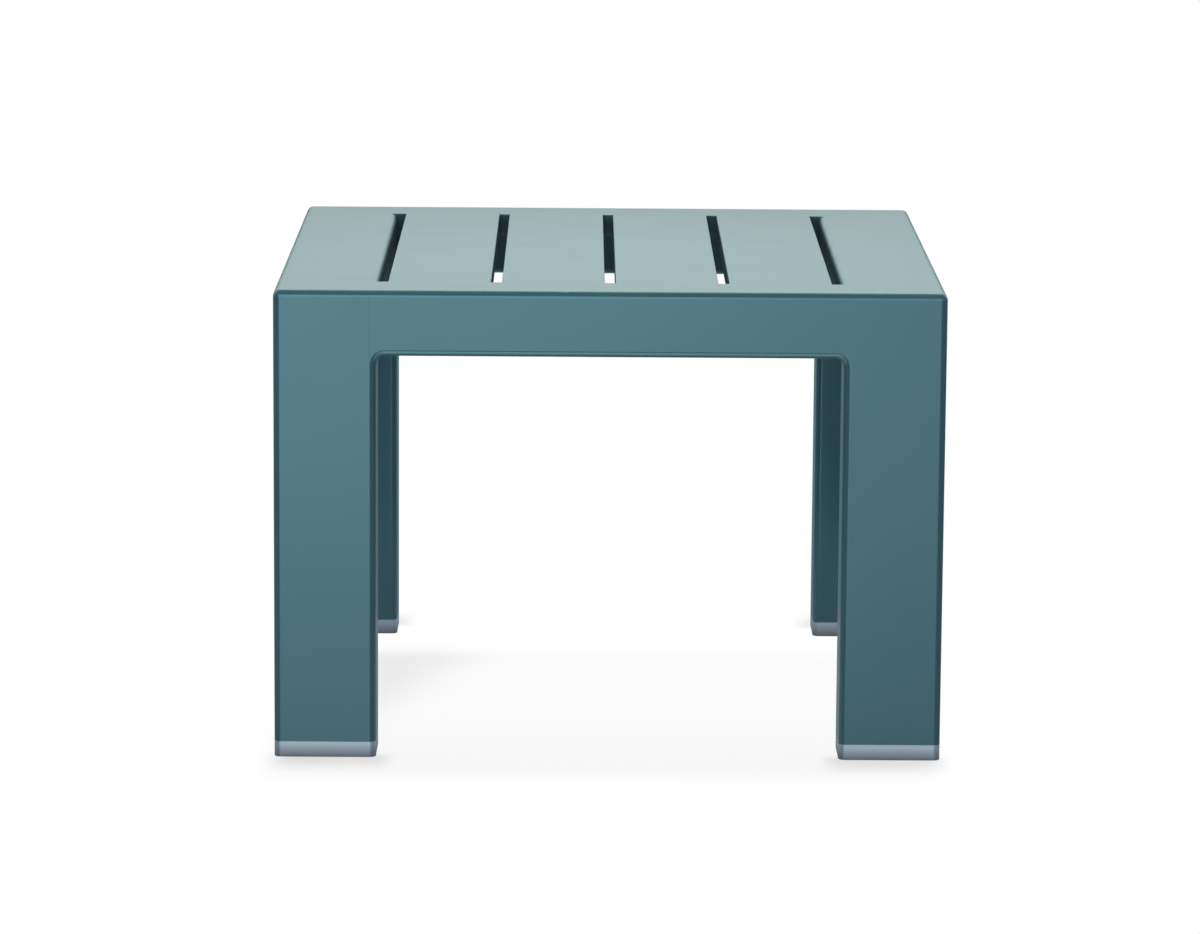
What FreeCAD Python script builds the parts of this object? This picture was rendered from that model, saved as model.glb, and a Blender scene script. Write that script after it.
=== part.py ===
"""Welded aluminium patio side table with a slatted top and shod feet.

Two mitred side frames, each two legs and a side rail of one broad tube, are joined by a front
and a rear rail. Four flat slats span the rails, flush with the tops of the frames.
Millimetres; origin on the floor under the middle of the top, +X to the right, +Y to the rear.
"""
import FreeCAD, Part
import math
import os
import Sketcher

doc = FreeCAD.newDocument("side_table")

# Driving dimensions
SIZES = {
    # Overall
    "table_width": 610.0,
    "table_depth": 610.0,
    "table_height": 432.0,
    # Side frames: legs and side rails are one tube, broad across the front
    "tube_width": 93.0,
    "tube_depth": 60.0,
    "tube_wall": 3.0,
    "edge_radius": 6.0,
    # Front and rear rails
    "rail_depth": 60.0,
    "rail_height": 60.0,
    "rail_wall": 3.0,
    # Weld in the inside corners, ground to a hollow
    "weld_radius": 7.0,
    "weld_toe": 0.5,
    # Slats, and the drain gaps between them and beside the side rails
    "slat_gap": 10.0,
    "side_gap": 9.0,
    "slat_thickness": 20.0,
    "slat_wall": 2.0,
    "slat_edge": 0.8,
    "slat_weld": 4.0,
    "slat_weld_inset": 8.0,
    # Foot shoe and its glide pad
    "foot_height": 14.5,
    "foot_edge": 0.5,
    "pad_proud": 0.5,
    "pad_seat": 2.0,
    "pad_inset": 4.0,
    "pad_corner": 3.0,
    "pad_clearance": 0.2,
    # Moulded plug in the bottom of each leg
    "plug_height": 26.0,
    "plug_floor": 6.0,
    "plug_wall": 3.0,
    "plug_clearance": 0.1,
    "fin_reach": 1.5,
    "fin_thickness": 2.0,
    "fin_pitch": 9.0,
    "boss_diameter": 12.0,
    # Countersunk screws that draw the shoe against the leg
    "screw_spacing": 46.0,
    "screw_diameter": 5.0,
    "screw_length": 25.0,
    "screw_head": 10.0,
    "screw_clearance": 0.5,
    "thread_clearance": 0.2,
}
SLATS = 4
FINS = 3
COUNTERSINK = 90.0
# How far a rail's coped end follows the rounded edge of the leg before it would feather out
COPE_SHARE = 0.9
# A cut that takes less than this many cubic millimetres has missed
LEAST_CUT = 0.1
# The smallest rounding inside a tube, whatever its wall
LEAST_ROUND = 0.5
# Places closer than this are the same place
SAME = 0.01
SIDES = {"left": -1, "right": 1}
ENDS = {"front": -1, "rear": 1}

sheet = doc.addObject("Spreadsheet::Sheet", "dims")
for row, (alias, number) in enumerate(SIZES.items(), start=1):
    sheet.set(f"A{row}", alias)
    sheet.set(f"B{row}", str(number))
    sheet.setAlias(f"B{row}", alias)
doc.recompute()

# Places worked out from the driving dimensions
HEIGHT = "dims.table_height"
HALF_DEPTH = "(dims.table_depth / 2)"
LEG_X = "((dims.table_width - dims.tube_width) / 2)"
LEG_Y = "((dims.table_depth - dims.tube_depth) / 2)"
LEG_BOTTOM = "(dims.pad_proud + dims.foot_height)"
INNER_X = "(dims.table_width / 2 - dims.tube_width)"
INNER_Y = "(dims.table_depth / 2 - dims.tube_depth)"
FRAME_UNDER = "(dims.table_height - dims.tube_depth)"
RAIL_UNDER = "(dims.table_height - dims.rail_height)"
BORE_RADIUS = f"max(dims.edge_radius - dims.tube_wall; {LEAST_ROUND})"
RAIL_BORE_RADIUS = f"max(dims.edge_radius - dims.rail_wall; {LEAST_ROUND})"
SLAT_SPAN = "(dims.table_depth - 2 * dims.rail_depth)"
SLAT_WIDTH = f"((2 * {INNER_X} - 2 * dims.side_gap - {SLATS - 1} * dims.slat_gap) / {SLATS})"
SLAT_PITCH = f"({SLAT_WIDTH} + dims.slat_gap)"
PAD_TOP = "(dims.pad_proud + dims.pad_seat)"
PAD_X = "(dims.tube_width / 2 - dims.pad_inset)"
PAD_Y = "(dims.tube_depth / 2 - dims.pad_inset)"
BORE_X = "(dims.tube_width / 2 - dims.tube_wall)"
BORE_Y = "(dims.tube_depth / 2 - dims.tube_wall)"

parts = {}


def value(text):
    """The number that an expression of the sheet's cells gives."""
    return float(sheet.evalExpression(text))


def near(first, second):
    return abs(first - second) < SAME


def add_body(name):
    return doc.addObject("PartDesign::Body", name)


def add_part(label, item):
    """Names a finished sub-part and puts it on the list of what is written."""
    item.Label = label
    parts[label] = item


def place(item, x="0", y="0", z="0"):
    for axis, text in zip("xyz", (x, y, z)):
        item.setExpression(f"Placement.Base.{axis}", text)


def turn_round(item):
    """Turns a piece half way round the upright axis, so that its front faces the rear."""
    item.Placement.Rotation = FreeCAD.Rotation(FreeCAD.Vector(0, 0, 1), 180)


def origin(body, role):
    """One of the body's own planes or axes."""
    return next(item for item in body.Origin.OriginFeatures if item.Role == role)


def add_sketch(body, name, role, offset="0"):
    """An empty sketch on one of the body's own planes, moved off it along its normal."""
    sketch = body.newObject("Sketcher::SketchObject", name)
    sketch.AttachmentSupport = [(origin(body, role), "")]
    sketch.MapMode = "FlatFace"
    sketch.setExpression("AttachmentOffset.Base.z", offset)
    return sketch


def pin_point(sketch, geometry, position, corner):
    """Ties a point of the sketch to a pair of expressions."""
    for kind, text in zip(("DistanceX", "DistanceY"), corner):
        index = sketch.addConstraint(Sketcher.Constraint(kind, -1, 1, geometry, position, value(text)))
        sketch.setExpression(f"Constraints[{index}]", text)


def add_loop(sketch, corners):
    """A closed run of straight sides through corners given as pairs of expressions."""
    first = sketch.GeometryCount
    count = len(corners)
    points = [FreeCAD.Vector(value(x), value(y), 0) for x, y in corners]
    for i in range(count):
        sketch.addGeometry(Part.LineSegment(points[i], points[(i + 1) % count]), False)
    for i in range(count):
        sketch.addConstraint(Sketcher.Constraint("Coincident", first + i, 2, first + (i + 1) % count, 1))
    for i, corner in enumerate(corners):
        pin_point(sketch, first + i, 1, corner)


def rectangle(x, y):
    """Corners of a rectangle that reaches x and y either side of the origin."""
    return [(f"-{x}", f"-{y}"), (x, f"-{y}"), (x, y), (f"-{x}", y)]


def add_circle(sketch, centre, diameter):
    start = FreeCAD.Vector(value(centre[0]), value(centre[1]), 0)
    circle = Part.Circle(start, FreeCAD.Vector(0, 0, 1), value(diameter) / 2)
    index = sketch.addGeometry(circle, False)
    pin_point(sketch, index, 3, centre)
    size = sketch.addConstraint(Sketcher.Constraint("Diameter", index, value(diameter)))
    sketch.setExpression(f"Constraints[{size}]", diameter)


def add_pad(body, name, sketch, length, side="One side", backwards=False):
    pad = body.newObject("PartDesign::Pad", name)
    pad.Profile = sketch
    pad.SideType = side
    pad.Reversed = backwards
    pad.setExpression("Length", length)
    doc.recompute()
    return pad


def add_pocket(body, name, sketch, length=None, side="One side", backwards=False):
    """A cut of the given length, or right through, that has to take something away."""
    before = body.Shape.Volume
    pocket = body.newObject("PartDesign::Pocket", name)
    pocket.Profile = sketch
    pocket.SideType = side
    pocket.Reversed = backwards
    if length is None:
        pocket.Type = "ThroughAll"
    else:
        pocket.setExpression("Length", length)
    doc.recompute()
    if before - body.Shape.Volume < LEAST_CUT:
        raise RuntimeError(f"{name} cuts nothing from {body.Name}")
    return pocket


def picked_edges(base, wanted):
    """The last feature and those of its edges whose bounding boxes pass the test."""
    return base, [f"Edge{i}" for i, edge in enumerate(base.Shape.Edges, start=1) if wanted(edge.BoundBox)]


def add_fillet(body, name, base, radius, wanted):
    fillet = body.newObject("PartDesign::Fillet", name)
    fillet.Base = picked_edges(base, wanted)
    fillet.setExpression("Radius", radius)
    doc.recompute()
    return fillet


def add_chamfer(body, name, base, size, wanted):
    chamfer = body.newObject("PartDesign::Chamfer", name)
    chamfer.Base = picked_edges(base, wanted)
    chamfer.setExpression("Size", size)
    doc.recompute()
    return chamfer


def upright(box):
    """True for a straight edge that runs along Z."""
    return near(box.XMin, box.XMax) and near(box.YMin, box.YMax)


def arch(inset, bottom):
    """Corners, in Y and Z, of the side frame's arch, drawn in all round by the inset."""
    outer = f"({HALF_DEPTH} - {inset})"
    inner = f"({INNER_Y} + {inset})"
    top = f"({HEIGHT} - {inset})"
    under = f"({FRAME_UNDER} + {inset})"
    return [
        (f"-{outer}", bottom),
        (f"-{outer}", top),
        (outer, top),
        (outer, bottom),
        (inner, bottom),
        (inner, under),
        (f"-{inner}", under),
        (f"-{inner}", bottom),
    ]


def make_frame_form(side, sign):
    """The outside of one side frame, with welds ground hollow and every long edge rounded."""
    body = add_body(f"{side}_frame_form")
    place(body, x=f"{sign} * {LEG_X}")
    sketch = add_sketch(body, f"{side}_arch", "YZ_Plane")
    add_loop(sketch, arch("0", LEG_BOTTOM))
    pad = add_pad(body, f"{side}_arch_pad", sketch, "dims.tube_width", "Symmetric")
    half, top, bottom = value("dims.tube_width / 2"), value(HEIGHT), value(LEG_BOTTOM)
    under, outer = value(FRAME_UNDER), value(HALF_DEPTH)

    def inside_corner(box):
        return near(box.ZMin, under) and near(box.ZMax, under) and near(box.YMin, box.YMax)

    def long_edge(box):
        on_side = near(box.XMin, box.XMax) and near(abs(box.XMin), half)
        on_end = near(box.ZMin, bottom) and near(box.ZMax, bottom)
        across = near(box.ZMin, top) and near(box.YMin, box.YMax) and near(abs(box.YMin), outer)
        return (on_side and not on_end) or across

    welds = add_fillet(body, f"{side}_inside_welds", pad, "dims.weld_radius", inside_corner)
    add_fillet(body, f"{side}_rounded_edges", welds, "dims.edge_radius", long_edge)
    return body


def make_frame_bore(side, sign):
    """The hollow of one side frame, open at the bottom of both legs."""
    body = add_body(f"{side}_frame_bore")
    place(body, x=f"{sign} * {LEG_X}")
    sketch = add_sketch(body, f"{side}_bore_arch", "YZ_Plane")
    add_loop(sketch, arch("dims.tube_wall", f"({LEG_BOTTOM} - dims.tube_wall)"))
    pad = add_pad(body, f"{side}_bore_pad", sketch, "(dims.tube_width - 2 * dims.tube_wall)", "Symmetric")
    half = value(BORE_X)

    def long_edge(box):
        on_end = near(box.ZMin, box.ZMax) and box.ZMax < value(LEG_BOTTOM)
        return near(box.XMin, box.XMax) and near(abs(box.XMin), half) and not on_end

    add_fillet(body, f"{side}_bore_edges", pad, BORE_RADIUS, long_edge)
    return body


def make_mitre_blocks():
    """Blocks that part a side frame at its mitres into front leg, rear leg and side rail."""
    past = "dims.edge_radius"
    reach = "dims.weld_radius"
    outer = f"({HALF_DEPTH} + {past})"
    top = f"({HEIGHT} + {past})"
    inner = f"({INNER_Y} - {reach})"
    low = f"({FRAME_UNDER} - {reach})"
    floor = "0"
    blocks = {}
    for end, sign in ENDS.items():
        corners = [(f"{sign} * {outer}", floor), (f"{sign} * {outer}", top)]
        corners += [(f"{sign} * {inner}", low), (f"{sign} * {inner}", floor)]
        blocks[end] = corners
    blocks["side"] = [(f"-{outer}", top), (outer, top), (inner, low), (f"-{inner}", low)]
    made = {}
    for name, corners in blocks.items():
        body = add_body(f"{name}_mitre_block")
        sketch = add_sketch(body, f"{name}_mitre", "YZ_Plane")
        add_loop(sketch, corners)
        add_pad(body, f"{name}_mitre_pad", sketch, f"(dims.table_width + 2 * {past})", "Symmetric")
        made[name] = body
    return made


def make_side_frame(side, form, bore, blocks):
    """Two legs and a side rail, which meet face to face on the mitres."""
    tube = doc.addObject("Part::Cut", f"{side}_frame_tube")
    tube.Base = form
    tube.Tool = bore
    labels = {"front": f"front_{side}_leg", "rear": f"rear_{side}_leg", "side": f"{side}_side_rail"}
    for name, label in labels.items():
        piece = doc.addObject("Part::Common", label)
        piece.Base = tube
        piece.Tool = blocks[name]
        add_part(label, piece)
    doc.recompute()


def make_rail(end, sign, frame_forms):
    """A box rail between the side frames, coped to their rounded edges, with hollow end welds."""
    body = add_body(f"{end}_rail_blank")
    place(body, y=f"{sign} * {HALF_DEPTH}")
    if sign > 0:
        turn_round(body)
    reach = f"({INNER_X} + 2 * dims.edge_radius)"
    toe = f"({INNER_X} - dims.weld_toe)"
    low = f"({RAIL_UNDER} - dims.weld_radius - dims.weld_toe)"
    right = [(reach, HEIGHT), (reach, low), (toe, low), (toe, RAIL_UNDER)]
    left = [(f"-{x}", z) for x, z in reversed(right)]
    sketch = add_sketch(body, f"{end}_rail_front", "XZ_Plane")
    add_loop(sketch, right + left)
    pad = add_pad(body, f"{end}_rail_pad", sketch, "dims.rail_depth", backwards=True)
    under, top, span = value(RAIL_UNDER), value(HEIGHT), value(toe)

    def inside_corner(box):
        return near(box.ZMin, under) and near(box.ZMax, under) and near(box.XMin, box.XMax)

    def long_edge(box):
        on_face = near(box.YMin, box.YMax)
        below = max(abs(box.XMin), abs(box.XMax)) < span + SAME
        front_top = near(box.YMax, 0) and near(box.ZMin, top)
        return on_face and (below or front_top)

    welds = add_fillet(body, f"{end}_rail_welds", pad, "dims.weld_radius", inside_corner)
    rounded = add_fillet(body, f"{end}_rail_edges", welds, "dims.edge_radius", long_edge)
    bore = add_sketch(body, f"{end}_rail_bore", "YZ_Plane")
    back = "(dims.rail_depth - dims.rail_wall)"
    ceiling = f"({HEIGHT} - dims.rail_wall)"
    floor = f"({RAIL_UNDER} + dims.rail_wall)"
    wall = "dims.rail_wall"
    add_loop(bore, [(wall, floor), (back, floor), (back, ceiling), (wall, ceiling)])
    hollow = add_pocket(body, f"{end}_rail_hollow", bore, side="Symmetric")
    walls = (value(wall), value(back))
    levels = (value(floor), value(ceiling))

    def bore_edge(box):
        along = near(box.YMin, box.YMax) and near(box.ZMin, box.ZMax)
        at_wall = any(near(box.YMin, y) for y in walls)
        return along and at_wall and any(near(box.ZMin, z) for z in levels)

    add_fillet(body, f"{end}_rail_bore_edges", hollow, RAIL_BORE_RADIUS, bore_edge)
    trim = add_sketch(body, f"{end}_rail_ends", "XZ_Plane")
    cope = f"({INNER_X} + {COPE_SHARE} * dims.edge_radius)"
    for hand in ("-", ""):
        ends = [(cope, low), (reach, low), (reach, HEIGHT), (cope, HEIGHT)]
        add_loop(trim, [(f"{hand}{x}", z) for x, z in ends])
    add_pocket(body, f"{end}_rail_trim", trim)
    rail = doc.addObject("Part::Cut", f"{end}_rail")
    rail.Base = body
    rail.Tool = frame_forms
    doc.recompute()
    add_part(f"{end}_rail", rail)


def make_slat(index):
    """A flat tube from rail to rail, its top flush with theirs."""
    body = add_body(f"slat_{index + 1}")
    place(body, x=f"({index - (SLATS - 1) / 2} * {SLAT_PITCH})")
    half = f"({SLAT_WIDTH} / 2)"
    under = f"({HEIGHT} - dims.slat_thickness)"
    inner = f"({half} - dims.slat_wall)"
    floor = f"({under} + dims.slat_wall)"
    ceiling = f"({HEIGHT} - dims.slat_wall)"
    sketch = add_sketch(body, f"slat_{index + 1}_section", "XZ_Plane")
    add_loop(sketch, [(f"-{half}", under), (half, under), (half, HEIGHT), (f"-{half}", HEIGHT)])
    add_loop(sketch, [(f"-{inner}", floor), (inner, floor), (inner, ceiling), (f"-{inner}", ceiling)])
    pad = add_pad(body, f"slat_{index + 1}_pad", sketch, SLAT_SPAN, "Symmetric")
    edge_x = value(half)

    def long_edge(box):
        return near(box.ZMin, box.ZMax) and near(box.XMin, box.XMax) and near(abs(box.XMin), edge_x)

    add_fillet(body, f"slat_{index + 1}_edges", pad, "dims.slat_edge", long_edge)
    add_part(f"slat_{index + 1}", body)


def make_slat_welds():
    """The fillet weld left under each end of each slat, against the rail."""
    body = add_body("slat_welds")
    rail_face = f"({HALF_DEPTH} - dims.rail_depth)"
    under = f"({HEIGHT} - dims.slat_thickness)"
    sketch = add_sketch(body, "weld_section", "YZ_Plane", f"(-{(SLATS - 1) / 2} * {SLAT_PITCH})")
    foot = f"({under} - dims.slat_weld)"
    toe = f"({rail_face} - dims.slat_weld)"
    add_loop(sketch, [(rail_face, under), (rail_face, foot), (toe, under)])
    bead = add_pad(body, "weld_bead", sketch, f"({SLAT_WIDTH} - 2 * dims.slat_weld_inset)", "Symmetric")
    repeat = body.newObject("PartDesign::MultiTransform", "weld_repeat")
    repeat.Originals = [bead]
    row = body.newObject("PartDesign::LinearPattern", "weld_row")
    row.Direction = (origin(body, "X_Axis"), [""])
    row.Occurrences = SLATS
    row.setExpression("Length", f"({SLATS - 1} * {SLAT_PITCH})")
    ends = body.newObject("PartDesign::Mirrored", "weld_ends")
    ends.MirrorPlane = (origin(body, "XZ_Plane"), [""])
    repeat.Transformations = [row, ends]
    body.Tip = repeat
    doc.recompute()
    add_part("slat_welds", body)


def make_foot(corner, x, y):
    """The metal shoe under a leg, flush with the tube, recessed below for the glide pad."""
    body = add_body(f"{corner}_foot")
    place(body, x, y)
    sketch = add_sketch(body, f"{corner}_foot_outline", "XY_Plane", "dims.pad_proud")
    add_loop(sketch, rectangle("(dims.tube_width / 2)", "(dims.tube_depth / 2)"))
    pad = add_pad(body, f"{corner}_foot_block", sketch, "dims.foot_height")
    round_corners = add_fillet(body, f"{corner}_foot_corners", pad, "dims.edge_radius", upright)
    low = value("dims.pad_proud")

    def bottom_edge(box):
        return near(box.ZMin, low) and near(box.ZMax, low)

    add_chamfer(body, f"{corner}_foot_rim", round_corners, "dims.foot_edge", bottom_edge)
    seat = add_sketch(body, f"{corner}_pad_seat", "XY_Plane", "dims.pad_proud")
    add_loop(seat, rectangle(f"({PAD_X} + dims.pad_clearance)", f"({PAD_Y} + dims.pad_clearance)"))
    recess = add_pocket(body, f"{corner}_pad_recess", seat, "dims.pad_seat", backwards=True)
    reach = value(f"({PAD_X} + dims.pad_clearance)")

    def seat_corner(box):
        return upright(box) and near(abs(box.XMin), reach)

    add_fillet(body, f"{corner}_recess_corners", recess, "dims.pad_corner", seat_corner)
    centres = add_sketch(body, f"{corner}_screw_centres", "XY_Plane", PAD_TOP)
    bore = "(dims.screw_diameter + dims.screw_clearance)"
    for sign in ("-", ""):
        add_circle(centres, (f"{sign}dims.screw_spacing / 2", "0"), bore)
    doc.recompute()
    hole = body.newObject("PartDesign::Hole", f"{corner}_screw_holes")
    hole.Profile = centres
    doc.recompute()
    hole.Reversed = True
    hole.DepthType = "ThroughAll"
    hole.HoleCutType = "Countersink"
    hole.HoleCutCountersinkAngle = COUNTERSINK
    hole.setExpression("Diameter", bore)
    hole.setExpression("HoleCutDiameter", "(dims.screw_head + dims.screw_clearance)")
    doc.recompute()
    add_part(f"{corner}_foot", body)


def make_foot_pad(corner, x, y):
    """The glide pad pressed into the shoe, which stands on the floor."""
    body = add_body(f"{corner}_foot_pad")
    place(body, x, y)
    sketch = add_sketch(body, f"{corner}_pad_outline", "XY_Plane")
    add_loop(sketch, rectangle(PAD_X, PAD_Y))
    pad = add_pad(body, f"{corner}_pad_block", sketch, PAD_TOP)
    add_fillet(body, f"{corner}_pad_corners", pad, "dims.pad_corner", upright)
    add_part(f"{corner}_foot_pad", body)


def make_leg_plug(corner, x, y):
    """The finned plug driven into the leg, with two bosses for the shoe's screws."""
    body = add_body(f"{corner}_leg_plug")
    place(body, x, y)
    core_x = f"({BORE_X} - dims.fin_reach)"
    core_y = f"({BORE_Y} - dims.fin_reach)"
    sketch = add_sketch(body, f"{corner}_plug_outline", "XY_Plane", LEG_BOTTOM)
    add_loop(sketch, rectangle(core_x, core_y))
    add_pad(body, f"{corner}_plug_block", sketch, "dims.plug_height")
    fin_x = f"({BORE_X} - dims.plug_clearance)"
    fin_y = f"({BORE_Y} - dims.plug_clearance)"
    cut_x = f"({fin_x} - {BORE_RADIUS})"
    cut_y = f"({fin_y} - {BORE_RADIUS})"
    fin = add_sketch(body, f"{corner}_fin_outline", "XY_Plane", LEG_BOTTOM)
    right = [(cut_x, f"-{fin_y}"), (fin_x, f"-{cut_y}"), (fin_x, cut_y), (cut_x, fin_y)]
    left = [(f"-{px}", py) for px, py in reversed(right)]
    add_loop(fin, right + left)
    fin_pad = add_pad(body, f"{corner}_fin", fin, "dims.fin_thickness")
    fins = body.newObject("PartDesign::LinearPattern", f"{corner}_fins")
    fins.Originals = [fin_pad]
    fins.Direction = (origin(body, "Z_Axis"), [""])
    fins.Occurrences = FINS
    fins.setExpression("Length", f"({FINS - 1} * dims.fin_pitch)")
    body.Tip = fins
    doc.recompute()
    well = add_sketch(body, f"{corner}_plug_well", "XY_Plane", f"({LEG_BOTTOM} + dims.plug_floor)")
    add_loop(well, rectangle(f"({core_x} - dims.plug_wall)", f"({core_y} - dims.plug_wall)"))
    add_pocket(body, f"{corner}_plug_hollow", well, backwards=True)
    centres = [(f"{sign}dims.screw_spacing / 2", "0") for sign in ("-", "")]
    boss = add_sketch(body, f"{corner}_boss_outline", "XY_Plane", LEG_BOTTOM)
    for centre in centres:
        add_circle(boss, centre, "dims.boss_diameter")
    add_pad(body, f"{corner}_bosses", boss, "dims.plug_height")
    pilot = add_sketch(body, f"{corner}_pilot_outline", "XY_Plane", LEG_BOTTOM)
    for centre in centres:
        add_circle(pilot, centre, "(dims.screw_diameter + dims.thread_clearance)")
    add_pocket(body, f"{corner}_pilots", pilot, backwards=True)
    add_part(f"{corner}_leg_plug", body)


def make_foot_screws():
    """Eight countersunk screws, two up through each shoe into its plug."""
    body = add_body("foot_screws")
    sketch = add_sketch(body, "screw_section", "XZ_Plane", f"-{LEG_Y}")
    axis = f"({LEG_X} + dims.screw_spacing / 2)"
    head = f"({axis} + dims.screw_head / 2)"
    shank = f"({axis} + dims.screw_diameter / 2)"
    slope = f"((dims.screw_head - dims.screw_diameter) / 2 / {math.tan(math.radians(COUNTERSINK / 2))})"
    neck = f"({PAD_TOP} + {slope})"
    tip = f"({PAD_TOP} + dims.screw_length)"
    add_loop(sketch, [(axis, PAD_TOP), (head, PAD_TOP), (shank, neck), (shank, tip), (axis, tip)])
    doc.recompute()
    screw = body.newObject("PartDesign::Revolution", "screw")
    screw.Profile = sketch
    screw.ReferenceAxis = (sketch, ["Edge5"])
    screw.Angle = 360
    doc.recompute()
    repeat = body.newObject("PartDesign::MultiTransform", "screw_repeat")
    repeat.Originals = [screw]
    pair = body.newObject("PartDesign::LinearPattern", "screw_pair")
    pair.Direction = (origin(body, "X_Axis"), [""])
    pair.Reversed = True
    pair.Occurrences = 2
    pair.setExpression("Length", "dims.screw_spacing")
    sides = body.newObject("PartDesign::Mirrored", "screw_sides")
    sides.MirrorPlane = (origin(body, "YZ_Plane"), [""])
    ends = body.newObject("PartDesign::Mirrored", "screw_ends")
    ends.MirrorPlane = (origin(body, "XZ_Plane"), [""])
    repeat.Transformations = [pair, sides, ends]
    body.Tip = repeat
    doc.recompute()
    add_part("foot_screws", body)


blocks = make_mitre_blocks()
forms = []
for side, sign in SIDES.items():
    form = make_frame_form(side, sign)
    forms.append(form)
    make_side_frame(side, form, make_frame_bore(side, sign), blocks)
frame_forms = doc.addObject("Part::Compound", "frame_forms")
frame_forms.Links = forms
doc.recompute()
for end, sign in ENDS.items():
    make_rail(end, sign, frame_forms)
for index in range(SLATS):
    make_slat(index)
make_slat_welds()
for end, y_sign in ENDS.items():
    for side, x_sign in SIDES.items():
        corner = f"{end}_{side}"
        spot = (f"{x_sign} * {LEG_X}", f"{y_sign} * {LEG_Y}")
        make_leg_plug(corner, *spot)
        make_foot(corner, *spot)
        make_foot_pad(corner, *spot)
make_foot_screws()
doc.recompute()

# Every object has to be sound before anything is written
for item in doc.Objects:
    if {"Invalid", "Error"} & set(item.State):
        raise RuntimeError(f"{item.Label} failed: {item.State}")
for label, item in parts.items():
    if item.Shape.isNull() or not item.Shape.isValid() or not item.Shape.Solids:
        raise RuntimeError(f"{label} has no sound shape")

os.makedirs("parts", exist_ok=True)
for label, item in parts.items():
    item.Shape.exportStep(f"parts/{label}.step")
    print(f"{label}: {len(item.Shape.Solids)} solid(s), {item.Shape.Volume / 1000:.1f} cm3")
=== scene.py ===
"""Looks of the patio side table: a powder-coated tube frame with a slatted top and metal shoes.

Metres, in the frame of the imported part: origin on the floor under the middle of the top,
+X to the right, +Y to the rear, +Z up.
"""
import bmesh
import bpy
import math
from mathutils import Matrix, Vector


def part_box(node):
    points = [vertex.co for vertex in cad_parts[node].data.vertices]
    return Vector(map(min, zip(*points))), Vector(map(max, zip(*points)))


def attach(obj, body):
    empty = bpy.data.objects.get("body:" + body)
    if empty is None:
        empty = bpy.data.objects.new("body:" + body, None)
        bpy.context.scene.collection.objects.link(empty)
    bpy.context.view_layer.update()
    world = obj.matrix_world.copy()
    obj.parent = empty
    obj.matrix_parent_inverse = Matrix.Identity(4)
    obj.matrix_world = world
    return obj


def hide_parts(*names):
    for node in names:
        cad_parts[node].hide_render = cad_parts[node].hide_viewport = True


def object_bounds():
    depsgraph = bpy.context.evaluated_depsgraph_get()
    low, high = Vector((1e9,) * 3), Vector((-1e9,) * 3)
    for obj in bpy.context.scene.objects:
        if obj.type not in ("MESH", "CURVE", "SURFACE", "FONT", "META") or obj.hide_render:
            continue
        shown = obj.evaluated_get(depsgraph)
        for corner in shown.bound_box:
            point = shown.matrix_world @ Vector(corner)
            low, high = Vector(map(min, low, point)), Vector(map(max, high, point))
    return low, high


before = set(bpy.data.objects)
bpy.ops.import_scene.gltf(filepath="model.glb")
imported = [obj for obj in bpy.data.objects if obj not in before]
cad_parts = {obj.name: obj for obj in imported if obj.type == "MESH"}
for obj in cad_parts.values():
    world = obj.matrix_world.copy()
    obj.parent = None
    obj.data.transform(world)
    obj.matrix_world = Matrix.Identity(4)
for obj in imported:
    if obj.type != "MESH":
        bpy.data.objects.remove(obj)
cad_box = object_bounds()

MM = 0.001

# The table's own sizes
TUBE_WIDTH = 93 * MM
TUBE_DEPTH = 60 * MM
RAIL_DEPTH = 60 * MM
RAIL_HEIGHT = 60 * MM
EDGE_ROUND = 6 * MM
WELD_HOLLOW = 7 * MM
WELD_TOE = 0.5 * MM
COPE = 5.4 * MM
SLAT_EDGE = 0.8 * MM
SHOE_EDGE = 0.5 * MM
SHOE_LIP = 0.3 * MM
PAD_SEAT = 2 * MM
PAD_RIM = 3.8 * MM
PAD_CORNER = 3 * MM
PAD_EDGE = 0.3 * MM
HIGH = cad_box[1]
SHOE_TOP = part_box("front_left_foot")[1].z
INNER_X = HIGH.x - TUBE_WIDTH
INNER_Y = HIGH.y - TUBE_DEPTH
FRAME_UNDER = HIGH.z - TUBE_DEPTH
RAIL_UNDER = HIGH.z - RAIL_HEIGHT
SLAT_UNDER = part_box("slat_1")[0].z
SIDES = {"left": -1, "right": 1}
ENDS = {"front": -1, "rear": 1}
CORNERS = [f"{end}_{side}" for end in ENDS for side in SIDES]

# Odd, so that a mitre runs along the middle strip of a rounding and both sides shade alike
ROUND_STEPS = 9
HOLLOW_STEPS = 8
FINE_STEPS = 3
# Faces that meet at more than this are shaded apart
CREASE = math.radians(35)
# Points closer than this are one point
SAME = 0.01 * MM

# The floor reaches this far from the middle, just below the pads
FLOOR_REACH = 30.0
FLOOR_DROP = 0.1 * MM


def near(first, second):
    return abs(first - second) < SAME


def from_hex(text):
    """A colour written as sRGB hex, as the linear colour that a shader takes."""
    shares = [int(text[i:i + 2], 16) / 255 for i in (1, 3, 5)]
    linear = [c / 12.92 if c <= 0.04045 else ((c + 0.055) / 1.055) ** 2.4 for c in shares]
    return (*linear, 1.0)


def add_node(tree, kind, settings, inputs):
    """Adds a node, sets its own settings, and sets or links each of its inputs."""
    node = tree.nodes.new(kind)
    for name, setting in settings.items():
        setattr(node, name, setting)
    for name, feed in inputs.items():
        if isinstance(feed, bpy.types.NodeSocket):
            tree.links.new(feed, node.inputs[name])
        else:
            node.inputs[name].default_value = feed
    return node


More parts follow.
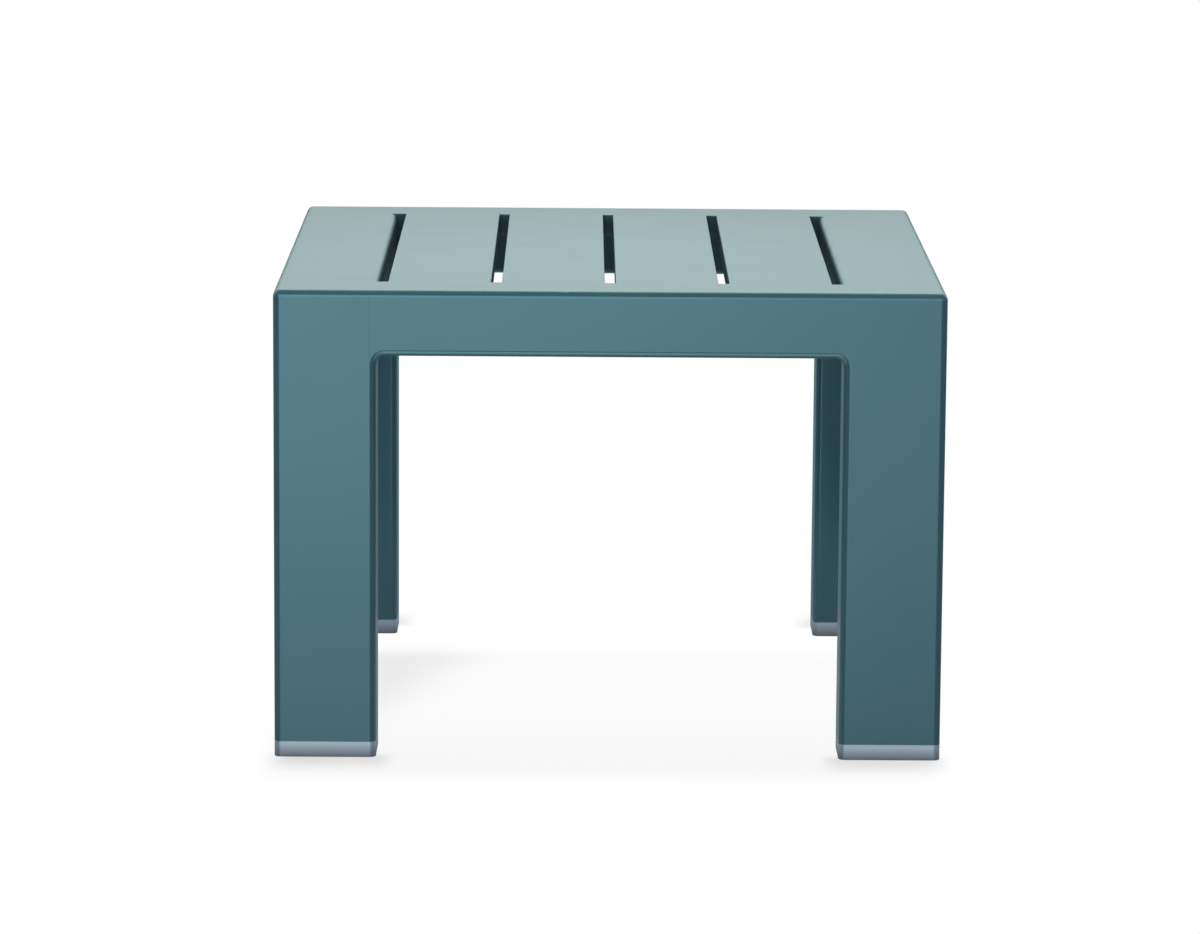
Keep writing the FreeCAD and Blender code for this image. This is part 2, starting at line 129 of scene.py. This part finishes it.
def soft_zone(tree, edges, inside=1.0):
    """How far a place lies inside a zone with soft edges, from 0 to 1. Each edge gives a coordinate
    and the two places along it where the zone is nothing and full. A zone may lie inside another."""
    for along, nothing, full in edges:
        fade = add_node(tree, "ShaderNodeMapRange", {"interpolation_type": "SMOOTHSTEP"}, {
            "Value": along, "From Min": nothing, "From Max": full,
        })
        both = add_node(tree, "ShaderNodeMath", {"operation": "MULTIPLY"}, {0: inside, 1: fade.outputs[0]})
        inside = both.outputs[0]
    return inside


def sum_of_zones(tree, zones, total=0.0):
    """The strength where several zones lie over one another, each given with its own strength."""
    for zone, strength in zones:
        more = add_node(tree, "ShaderNodeMath", {"operation": "MULTIPLY_ADD"}, {
            0: zone, 1: strength, 2: total,
        })
        total = more.outputs[0]
    return total


def new_material(name):
    """An empty material and its node tree."""
    material = bpy.data.materials.new(name)
    material.use_nodes = True
    material.node_tree.nodes.clear()
    return material, material.node_tree


def powder_coat():
    """Satin powder coat on aluminium: an even teal film with a soft metallic sheen, a faint orange
    peel left where the powder flowed, and a tone that drifts a little over a hand's breadth. Between
    the slats and behind the rails the film is painted darker, as painted shade, and is duller there."""
    shade_patch = 90 * MM
    peel_cell = 1.4 * MM
    peel_depth = 0.03 * MM
    recess_fade = 1 * MM
    recess_top = HIGH.z - 0.5 * MM
    recess_full_below = HIGH.z - 1.5 * MM
    underside_band = 0.2 * MM
    recess_roughness = 0.6
    material, tree = new_material("powder_coat_satin_teal")
    place = add_node(tree, "ShaderNodeTexCoord", {}, {}).outputs["Object"]
    drift = add_node(tree, "ShaderNodeTexNoise", {}, {
        "Vector": place, "Scale": 1 / shade_patch, "Detail": 2.0, "Roughness": 0.5,
    })
    teal = add_node(tree, "ShaderNodeMix", {"data_type": "RGBA"}, {
        0: drift.outputs[0], 6: from_hex("#578392"), 7: from_hex("#5c8a98"),
    })
    quarter = add_node(tree, "ShaderNodeVectorMath", {"operation": "ABSOLUTE"}, {0: place})
    aside, away, height = add_node(tree, "ShaderNodeSeparateXYZ", {}, {0: quarter.outputs[0]}).outputs
    underside = add_node(tree, "ShaderNodeMath", {"operation": "COMPARE"}, {
        0: height, 1: SLAT_UNDER, 2: underside_band,
    })
    # Painted shade: everything between the side frames and the rails, apart from the top and underside of
    # the slats, is painted a darker teal and made duller
    shaded_recess = soft_zone(tree, [
        (aside, INNER_X + recess_fade, INNER_X),
        (away, INNER_Y + recess_fade, INNER_Y),
        (height, recess_top, recess_full_below),
        (underside.outputs[0], 1.0, 0.0),
    ])
    # Painted shade: the shaded recess takes a darker teal
    film = add_node(tree, "ShaderNodeMix", {"data_type": "RGBA"}, {
        0: shaded_recess, 6: teal.outputs[2], 7: from_hex("#4a6872"),
    })
    sheen = add_node(tree, "ShaderNodeMapRange", {}, {
        "Value": drift.outputs[0], "From Min": 0.3, "From Max": 0.7, "To Min": 0.19, "To Max": 0.21,
    })
    dullness = add_node(tree, "ShaderNodeMix", {"data_type": "FLOAT"}, {
        0: shaded_recess, 2: sheen.outputs[0], 3: recess_roughness,
    })
    peel = add_node(tree, "ShaderNodeTexNoise", {}, {
        "Vector": place, "Scale": 1 / peel_cell, "Detail": 1.0, "Roughness": 0.4,
    })
    bump = add_node(tree, "ShaderNodeBump", {}, {
        "Strength": 0.2, "Distance": peel_depth, "Height": peel.outputs[0],
    })
    coat = add_node(tree, "ShaderNodeBsdfPrincipled", {}, {
        "Base Color": film.outputs[2], "Metallic": 0.5, "Roughness": dullness.outputs[0],
        "IOR": 1.5, "Normal": bump.outputs[0],
    })
    add_node(tree, "ShaderNodeOutputMaterial", {}, {"Surface": coat.outputs[0]})
    return material


def satin_aluminium():
    """Cast aluminium shoe with a satin finish: cool pale metal with fine level lines, and painted
    shade that turns it darker grey towards the bottom."""
    line_length = 18 * MM
    line_thinness = 30.0
    shade_top = 12 * MM
    material, tree = new_material("satin_aluminium")
    place = add_node(tree, "ShaderNodeTexCoord", {}, {}).outputs["Object"]
    flattened = add_node(tree, "ShaderNodeMapping", {}, {
        "Vector": place, "Scale": (1.0, 1.0, line_thinness),
    })
    lines = add_node(tree, "ShaderNodeTexNoise", {}, {
        "Vector": flattened.outputs[0], "Scale": 1 / line_length, "Detail": 3.0, "Roughness": 0.6,
    })
    silver = add_node(tree, "ShaderNodeMix", {"data_type": "RGBA"}, {
        0: lines.outputs[0], 6: from_hex("#d6e6fb"), 7: from_hex("#dcecff"),
    })
    _, _, height = add_node(tree, "ShaderNodeSeparateXYZ", {}, {0: place}).outputs
    # Painted shade: the colour turns darker grey towards the bottom of the shoe
    out_of_shade = add_node(tree, "ShaderNodeMapRange", {}, {
        "Value": height, "From Min": 0.0, "From Max": shade_top,
    })
    colour = add_node(tree, "ShaderNodeMix", {"data_type": "RGBA"}, {
        0: out_of_shade.outputs[0], 6: from_hex("#8f9aa8"), 7: silver.outputs[2],
    })
    gloss = add_node(tree, "ShaderNodeMapRange", {}, {
        "Value": lines.outputs[0], "From Min": 0.3, "From Max": 0.7, "To Min": 0.42, "To Max": 0.48,
    })
    metal = add_node(tree, "ShaderNodeBsdfPrincipled", {}, {
        "Base Color": colour.outputs[2], "Metallic": 1.0, "Roughness": gloss.outputs[0],
    })
    add_node(tree, "ShaderNodeOutputMaterial", {}, {"Surface": metal.outputs[0]})
    return material


def moulded_nylon():
    """Moulded black nylon of the glide pads and plugs: dull, with a fine spark-eroded grain."""
    grain_size = 0.5 * MM
    grain_depth = 0.05 * MM
    material, tree = new_material("moulded_nylon_black")
    place = add_node(tree, "ShaderNodeTexCoord", {}, {}).outputs["Object"]
    grain = add_node(tree, "ShaderNodeTexNoise", {}, {
        "Vector": place, "Scale": 1 / grain_size, "Detail": 2.0,
    })
    colour = add_node(tree, "ShaderNodeMix", {"data_type": "RGBA"}, {
        0: grain.outputs[0], 6: from_hex("#26272a"), 7: from_hex("#34363a"),
    })
    bump = add_node(tree, "ShaderNodeBump", {}, {
        "Strength": 0.4, "Distance": grain_depth, "Height": grain.outputs[0],
    })
    plastic = add_node(tree, "ShaderNodeBsdfPrincipled", {}, {
        "Base Color": colour.outputs[2], "Roughness": 0.6, "IOR": 1.53, "Normal": bump.outputs[0],
    })
    add_node(tree, "ShaderNodeOutputMaterial", {}, {"Surface": plastic.outputs[0]})
    return material


def zinc_steel():
    """Zinc-plated steel screws: grey metal with a faint blotchy bloom."""
    bloom_patch = 3 * MM
    material, tree = new_material("zinc_plated_steel")
    place = add_node(tree, "ShaderNodeTexCoord", {}, {}).outputs["Object"]
    bloom = add_node(tree, "ShaderNodeTexNoise", {}, {
        "Vector": place, "Scale": 1 / bloom_patch, "Detail": 2.0,
    })
    colour = add_node(tree, "ShaderNodeMix", {"data_type": "RGBA"}, {
        0: bloom.outputs[0], 6: from_hex("#a7abb0"), 7: from_hex("#c2c5c8"),
    })
    steel = add_node(tree, "ShaderNodeBsdfPrincipled", {}, {
        "Base Color": colour.outputs[2], "Metallic": 1.0, "Roughness": 0.35,
    })
    add_node(tree, "ShaderNodeOutputMaterial", {}, {"Surface": steel.outputs[0]})
    return material


def white_paper():
    """Matt white paper on the studio floor. The eye sees it plain white, apart from a painted shadow:
    in zones set round the table, a share of the paper as it is really lit shows through."""
    shadow_slant = -0.32
    glossy_share = 0.15
    material, tree = new_material("white_paper")
    seen = add_node(tree, "ShaderNodeLightPath", {}, {})
    place = add_node(tree, "ShaderNodeTexCoord", {}, {}).outputs["Object"]
    across, along, _ = add_node(tree, "ShaderNodeSeparateXYZ", {}, {0: place}).outputs
    quarter = add_node(tree, "ShaderNodeVectorMath", {"operation": "ABSOLUTE"}, {0: place})
    aside, away, _ = add_node(tree, "ShaderNodeSeparateXYZ", {}, {0: quarter.outputs[0]}).outputs
    slanted = add_node(tree, "ShaderNodeMath", {"operation": "MULTIPLY_ADD"}, {
        0: along, 1: shadow_slant, 2: across,
    })
    # Painted shadow: where it lies, in metres from the middle of the table
    below_top = soft_zone(tree, [(along, -0.42, -0.34), (along, 0.2, 0.12), (aside, 0.33, 0.26)])
    below_front = soft_zone(tree, [(along, -0.1, -0.32)], inside=below_top)
    beside_left_leg = soft_zone(tree, [(slanted.outputs[0], -0.135, -0.24)], inside=below_top)
    round_feet = soft_zone(tree, [
        (aside, 0.19, 0.215), (aside, 0.32, 0.29), (away, 0.28, 0.3), (away, 0.37, 0.305),
    ])
    shade = sum_of_zones(tree, [
        (below_top, 0.045), (below_front, 0.035), (beside_left_leg, 0.15), (round_feet, 0.2),
    ])
    unshaded = add_node(tree, "ShaderNodeMath", {"operation": "SUBTRACT"}, {0: 1.0, 1: shade})
    eye = add_node(tree, "ShaderNodeMath", {"operation": "MULTIPLY_ADD"}, {
        0: seen.outputs["Is Glossy Ray"], 1: glossy_share, 2: seen.outputs["Is Camera Ray"],
    })
    whiteness = add_node(tree, "ShaderNodeMath", {"operation": "MULTIPLY"}, {
        0: unshaded.outputs[0], 1: eye.outputs[0],
    })
    paper = add_node(tree, "ShaderNodeBsdfDiffuse", {}, {"Color": from_hex("#808080")})
    white = add_node(tree, "ShaderNodeEmission", {}, {"Color": from_hex("#ffffff"), "Strength": 1.0})
    shown = add_node(tree, "ShaderNodeMixShader", {}, {
        0: whiteness.outputs[0], 1: paper.outputs[0], 2: white.outputs[0],
    })
    # Reflections see the paper under the table, and beyond it the studio, which has its own lower half
    under_table = soft_zone(tree, [(aside, 0.36, 0.32), (along, -0.34, -0.3), (along, 0.34, 0.3)])
    beyond = soft_zone(tree, [(under_table, 1.0, 0.0)], inside=seen.outputs["Is Glossy Ray"])
    clear = add_node(tree, "ShaderNodeBsdfTransparent", {}, {})
    surface = add_node(tree, "ShaderNodeMixShader", {}, {
        0: beyond, 1: shown.outputs[0], 2: clear.outputs[0],
    })
    add_node(tree, "ShaderNodeOutputMaterial", {}, {"Surface": surface.outputs[0]})
    return material


def studio():
    """White all round to the eye. Light and reflections see a dim room with a strip of light in
    front, a backdrop behind and a pale floor. Its zones are by direction: x, y and z of a unit vector."""
    world = bpy.data.worlds.new("studio")
    world.use_nodes = True
    tree = world.node_tree
    tree.nodes.clear()
    seen = add_node(tree, "ShaderNodeLightPath", {}, {})
    way = add_node(tree, "ShaderNodeTexCoord", {}, {}).outputs["Generated"]
    x, y, z = add_node(tree, "ShaderNodeSeparateXYZ", {}, {0: way}).outputs
    # A dim fill, dimmer below the horizon, which only reflections see
    fill_below = 0.15
    fill_above = 0.3
    above = soft_zone(tree, [(z, -0.1, 0.05)])
    fill = add_node(tree, "ShaderNodeBackground", {}, {
        "Color": from_hex("#eafdf7"),
        "Strength": sum_of_zones(tree, [(above, fill_above - fill_below)], fill_below),
    })
    # A strip in front, a little to the left; a backdrop above the horizon; a floor, brighter in front
    ahead = soft_zone(tree, [(x, -0.26, -0.1), (x, 0.25, -0.07), (y, -0.3, -0.5)])
    strip = soft_zone(tree, [(z, -0.228, -0.19), (z, 0.6, 0.4)], inside=ahead)
    backdrop = soft_zone(tree, [(z, 0.03, 0.12), (z, 0.9, 0.6), (y, -0.1, 0.4)])
    pale_floor = soft_zone(tree, [(z, -0.38, -0.55)])
    pale_floor_ahead = soft_zone(tree, [(z, -0.38, -0.55)], inside=ahead)
    lamplight = add_node(tree, "ShaderNodeBackground", {}, {
        "Color": from_hex("#fffffb"),
        "Strength": sum_of_zones(tree, [
            (strip, 1.42), (backdrop, 0.5), (pale_floor, 0.5), (pale_floor_ahead, 0.8),
        ]),
    })
    # The floor behind, which takes up some of the table's colour
    floor_behind = soft_zone(tree, [(z, -0.3, -0.2), (z, -0.05, -0.1), (y, 0.5, 0.8)])
    tinted = add_node(tree, "ShaderNodeBackground", {}, {
        "Color": from_hex("#78eeff"), "Strength": sum_of_zones(tree, [(floor_behind, 0.09)]),
    })
    room = add_node(tree, "ShaderNodeAddShader", {}, {0: fill.outputs[0], 1: lamplight.outputs[0]})
    tinted_room = add_node(tree, "ShaderNodeAddShader", {}, {0: room.outputs[0], 1: tinted.outputs[0]})
    white = add_node(tree, "ShaderNodeBackground", {}, {"Color": from_hex("#ffffff"), "Strength": 1.0})
    sky = add_node(tree, "ShaderNodeMixShader", {}, {
        0: seen.outputs["Is Camera Ray"], 1: tinted_room.outputs[0], 2: white.outputs[0],
    })
    add_node(tree, "ShaderNodeOutputWorld", {}, {"Surface": sky.outputs[0]})
    return world


def push(bm, faces, way):
    """Pushes faces out of a mesh, straight along a vector."""
    pushed = bmesh.ops.extrude_face_region(bm, geom=faces)["geom"]
    ends = [part for part in pushed if isinstance(part, bmesh.types.BMVert)]
    bmesh.ops.translate(bm, vec=way, verts=ends)


def pushed_outline(points, way):
    """A closed solid made from a flat outline pushed straight along a vector."""
    bm = bmesh.new()
    face = bm.faces.new([bm.verts.new(point) for point in points])
    push(bm, [face], way)
    bmesh.ops.recalc_face_normals(bm, faces=bm.faces)
    return bm


def block(low, high):
    """A block between two corners."""
    bm = bmesh.new()
    bmesh.ops.create_cube(bm, size=1.0)
    bmesh.ops.scale(bm, vec=high - low, verts=bm.verts)
    bmesh.ops.translate(bm, vec=(low + high) / 2, verts=bm.verts)
    return bm


def round_edges(bm, wanted, radius, steps):
    """Rounds the edges whose two ends pass the test."""
    edges = [edge for edge in bm.edges if wanted(*(v.co for v in edge.verts))]
    bmesh.ops.bevel(
        bm, geom=edges, offset=radius, offset_type="OFFSET", segments=steps, profile=0.5,
        affect="EDGES", clamp_overlap=False, material=-1,
    )


def upright(a, b):
    """Tests for an edge that stands straight up."""
    return near(a.x, b.x) and near(a.y, b.y)


def level_at(height):
    """The test for an edge that lies at a height."""
    return lambda a, b: near(a.z, height) and near(b.z, height)


def cut_at(bm, point, keep):
    """Cuts a solid at a plane, keeps the side that the vector points to and closes the cut."""
    everything = bm.verts[:] + bm.edges[:] + bm.faces[:]
    bmesh.ops.bisect_plane(
        bm, geom=everything, dist=SAME / 10, plane_co=point, plane_no=keep, clear_inner=True,
    )
    bmesh.ops.remove_doubles(bm, verts=bm.verts, dist=SAME)
    bmesh.ops.edgeloop_fill(bm, edges=[edge for edge in bm.edges if edge.is_boundary])


def add_piece(name, bm, material):
    """Puts a finished mesh into the scene in place of the node of its name."""
    for face in bm.faces:
        face.smooth = True
    for edge in bm.edges:
        edge.smooth = edge.calc_face_angle() < CREASE
    mesh = bpy.data.meshes.new(name)
    bm.to_mesh(mesh)
    bm.free()
    piece = bpy.data.objects.new(f"{name}_look", mesh)
    bpy.context.scene.collection.objects.link(piece)
    mesh.materials.append(material)
    flatten = piece.modifiers.new("flat_faces", "WEIGHTED_NORMAL")
    flatten.keep_sharp = True
    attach(piece, "root")
    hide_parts(name)


def side_frame(side):
    """The outside of a side frame: an arch, hollow in its inside corners, with rounded edges."""
    outer, inner, top = HIGH.y, INNER_Y, HIGH.z
    face_x = SIDES[side] * (HIGH.x - TUBE_WIDTH / 2) - TUBE_WIDTH / 2
    arch = [(-outer, SHOE_TOP), (-outer, top), (outer, top), (outer, SHOE_TOP)]
    arch += [(inner, SHOE_TOP), (inner, FRAME_UNDER), (-inner, FRAME_UNDER), (-inner, SHOE_TOP)]
    bm = pushed_outline([(face_x, y, z) for y, z in arch], Vector((TUBE_WIDTH, 0, 0)))

    def across_tube(a, b, y, z):
        return near(a.y, b.y) and all(near(abs(p.y), y) and near(p.z, z) for p in (a, b))

    def inside_corner(a, b):
        return across_tube(a, b, inner, FRAME_UNDER)

    def long_edge(a, b):
        on_side = near(a.x, b.x) and not (near(a.z, SHOE_TOP) and near(b.z, SHOE_TOP))
        return on_side or across_tube(a, b, outer, top)

    round_edges(bm, inside_corner, WELD_HOLLOW, HOLLOW_STEPS)
    round_edges(bm, long_edge, EDGE_ROUND, ROUND_STEPS)
    return bm


def add_side_frame(side, material):
    """Parts a side frame at its mitres into two legs and a side rail."""
    whole = side_frame(side)
    rail = whole.copy()
    for end, sign in ENDS.items():
        mitre = Vector((0, sign * HIGH.y, HIGH.z))
        down = Vector((0, sign, -1)).normalized()
        leg = whole.copy()
        cut_at(leg, mitre, down)
        add_piece(f"{end}_{side}_leg", leg, material)
        cut_at(rail, mitre, -down)
    add_piece(f"{side}_side_rail", rail, material)
    whole.free()


def add_rail(end, material):
    """A rail between the side frames, whose ends run into their rounded edges."""
    sign = ENDS[end]
    face_y = sign * HIGH.y
    reach = INNER_X + 2 * EDGE_ROUND
    toe = INNER_X - WELD_TOE
    low = RAIL_UNDER - WELD_HOLLOW - WELD_TOE
    right_end = [(reach, HIGH.z), (reach, low), (toe, low), (toe, RAIL_UNDER)]
    outline = right_end + [(-x, z) for x, z in reversed(right_end)]
    bm = pushed_outline([(x, face_y, z) for x, z in outline], Vector((0, -sign * RAIL_DEPTH, 0)))

    def inside_corner(a, b):
        return all(near(abs(p.x), toe) and near(p.z, RAIL_UNDER) for p in (a, b)) and near(a.x, b.x)

    def long_edge(a, b):
        on_face = near(a.y, b.y)
        below = max(abs(a.x), abs(b.x)) < toe + SAME
        outer_top = near(a.y, face_y) and near(a.z, HIGH.z) and near(b.z, HIGH.z)
        return on_face and (below or outer_top)

    round_edges(bm, inside_corner, WELD_HOLLOW, HOLLOW_STEPS)
    round_edges(bm, long_edge, EDGE_ROUND, ROUND_STEPS)
    for hand in SIDES.values():
        cut_at(bm, Vector((hand * (INNER_X + COPE), 0, 0)), Vector((-hand, 0, 0)))
    add_piece(f"{end}_rail", bm, material)


def add_slat(name, material):
    """A flat slat with its long edges just broken."""
    bm = block(*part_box(name))

    def long_edge(a, b):
        return near(a.x, b.x) and near(a.z, b.z)

    round_edges(bm, long_edge, SLAT_EDGE, FINE_STEPS)
    add_piece(name, bm, material)


def add_shoe(corner, material):
    """The shoe under a leg, with round corners, broken edges and a seat for its pad."""
    low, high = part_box(f"{corner}_foot")
    bm = block(low, high)
    round_edges(bm, upright, EDGE_ROUND, ROUND_STEPS)
    round_edges(bm, level_at(low.z), SHOE_EDGE, FINE_STEPS)
    round_edges(bm, level_at(high.z), SHOE_LIP, FINE_STEPS)
    sole = [face for face in bm.faces if near(face.calc_center_median().z, low.z)]
    bmesh.ops.inset_region(bm, faces=sole, thickness=PAD_RIM - SHOE_EDGE, use_even_offset=True)
    push(bm, sole, Vector((0, 0, PAD_SEAT)))
    bmesh.ops.delete(bm, geom=sole, context="FACES")
    add_piece(f"{corner}_foot", bm, material)


def add_pad(corner, material):
    """The glide pad in the shoe, with round corners and a softened rim."""
    low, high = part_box(f"{corner}_foot_pad")
    bm = block(low, high)
    round_edges(bm, upright, PAD_CORNER, ROUND_STEPS)
    round_edges(bm, level_at(low.z), PAD_EDGE, FINE_STEPS)
    add_piece(f"{corner}_foot_pad", bm, material)


def add_floor():
    """A wide pale floor, just clear of the pads."""
    bm = bmesh.new()
    bmesh.ops.create_grid(bm, x_segments=1, y_segments=1, size=FLOOR_REACH)
    bmesh.ops.translate(bm, vec=(0, 0, -FLOOR_DROP), verts=bm.verts)
    mesh = bpy.data.meshes.new("floor")
    bm.to_mesh(mesh)
    bm.free()
    mesh.materials.append(white_paper())
    floor = bpy.data.objects.new("floor", mesh)
    bpy.context.scene.collection.objects.link(floor)


def add_softbox(name, place, aim, size, power):
    """A soft lamp that lights the table but doesn't show in its reflections."""
    lamp = bpy.data.lights.new(name, "AREA")
    lamp.shape = "RECTANGLE"
    lamp.size, lamp.size_y = size
    lamp.energy = power
    softbox = bpy.data.objects.new(name, lamp)
    softbox.location = place
    softbox.rotation_euler = (Vector(aim) - Vector(place)).to_track_quat("-Z", "Y").to_euler()
    softbox.visible_glossy = False
    bpy.context.scene.collection.objects.link(softbox)
    return lamp


coat = powder_coat()
aluminium = satin_aluminium()
nylon = moulded_nylon()
zinc = zinc_steel()
for side in SIDES:
    add_side_frame(side, coat)
for end in ENDS:
    add_rail(end, coat)
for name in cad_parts:
    if name.startswith("slat_") and name != "slat_welds":
        add_slat(name, coat)
for corner in CORNERS:
    add_shoe(corner, aluminium)
    add_pad(corner, nylon)

# Pieces that stay as the part has them
KEPT = {"slat_welds": coat, "foot_screws": zinc}
KEPT.update({f"{corner}_leg_plug": nylon for corner in CORNERS})
for name, material in KEPT.items():
    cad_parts[name].data.materials.clear()
    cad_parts[name].data.materials.append(material)

# Floor, studio and lamps
add_floor()
bpy.context.scene.world = studio()
TABLE_MIDDLE = (0.0, 0.0, 0.3)
TOP_FRONT = (0.0, -0.3, 0.43)
add_softbox("key_softbox", place=(-1.5, -3.6, 1.9), aim=TABLE_MIDDLE, size=(2.4, 2.0), power=35)
# From behind and over the top, slightly warm, with a narrow spread
top_lamp = add_softbox("top_softbox", place=(0.0, 1.1, 1.6), aim=TOP_FRONT, size=(0.7, 0.3), power=4.2)
top_lamp.spread = math.radians(37)
top_lamp.color = from_hex("#ffe4cc")[:3]
for hand in SIDES.values():
    add_softbox("side_softbox", place=(hand * 2.4, 1.5, 1.3), aim=TABLE_MIDDLE, size=(1.2, 1.2), power=40)

# Camera at the photograph's place
CAMERA_PLACE = Vector((-0.0272, -4.9664, 1.0980))
CAMERA_YAW = math.radians(0.231)
CAMERA_PITCH = math.radians(10.049)
CAMERA_ROLL = math.radians(0.412)
CAMERA_LENS = 156.48
SENSOR = 36.0
ahead = Vector((
    math.sin(CAMERA_YAW) * math.cos(CAMERA_PITCH),
    math.cos(CAMERA_YAW) * math.cos(CAMERA_PITCH),
    -math.sin(CAMERA_PITCH),
))
level_right = Vector((math.cos(CAMERA_YAW), -math.sin(CAMERA_YAW), 0))
level_up = level_right.cross(ahead)
right = math.cos(CAMERA_ROLL) * level_right + math.sin(CAMERA_ROLL) * level_up
up = -math.sin(CAMERA_ROLL) * level_right + math.cos(CAMERA_ROLL) * level_up
lens = bpy.data.cameras.new("camera")
lens.lens = CAMERA_LENS
lens.sensor_fit = "HORIZONTAL"
lens.sensor_width = SENSOR
camera = bpy.data.objects.new("camera", lens)
camera.matrix_world = Matrix.Translation(CAMERA_PLACE) @ Matrix((right, up, -ahead)).transposed().to_4x4()
bpy.context.scene.collection.objects.link(camera)
bpy.context.scene.camera = camera

bpy.context.scene.view_settings.view_transform = "Standard"
